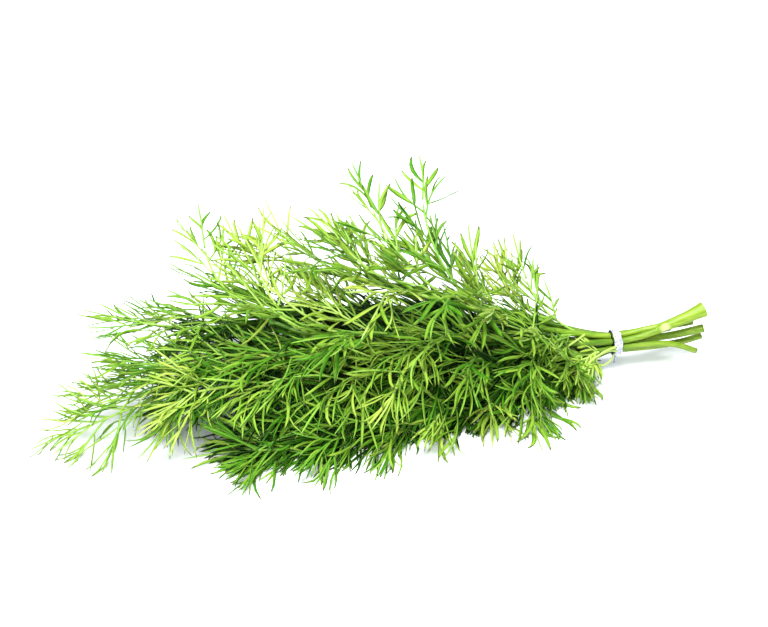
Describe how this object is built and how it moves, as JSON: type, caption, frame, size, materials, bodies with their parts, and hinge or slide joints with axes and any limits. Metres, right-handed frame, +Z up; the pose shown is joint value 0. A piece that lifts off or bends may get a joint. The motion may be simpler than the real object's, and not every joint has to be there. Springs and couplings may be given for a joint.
{
  "type": "dill bunch",
  "caption": "Bunch of fresh dill lying down: thin forking stems with feathery thread leaves, tied near the cut ends with a narrow band.",
  "frame": {"origin": "on the surface that the bunch lies on, under the middle of its box", "axes": "+X runs along the bunch from the leaf tips to the cut stem ends, +Y away from the side that the picture shows, +Z up"},
  "size_m": [0.3438, 0.1568, 0.0965],
  "materials": {
    "dill": "satin",
    "band": "matt"
  },
  "bodies": {
    "root": {"sprig_1": "dill", "sprig_2": "dill", "sprig_3": "dill", "sprig_4": "dill", "sprig_5": "dill", "sprig_6": "dill", "sprig_7": "dill", "tie": "band"}
  },
  "joints": []
}
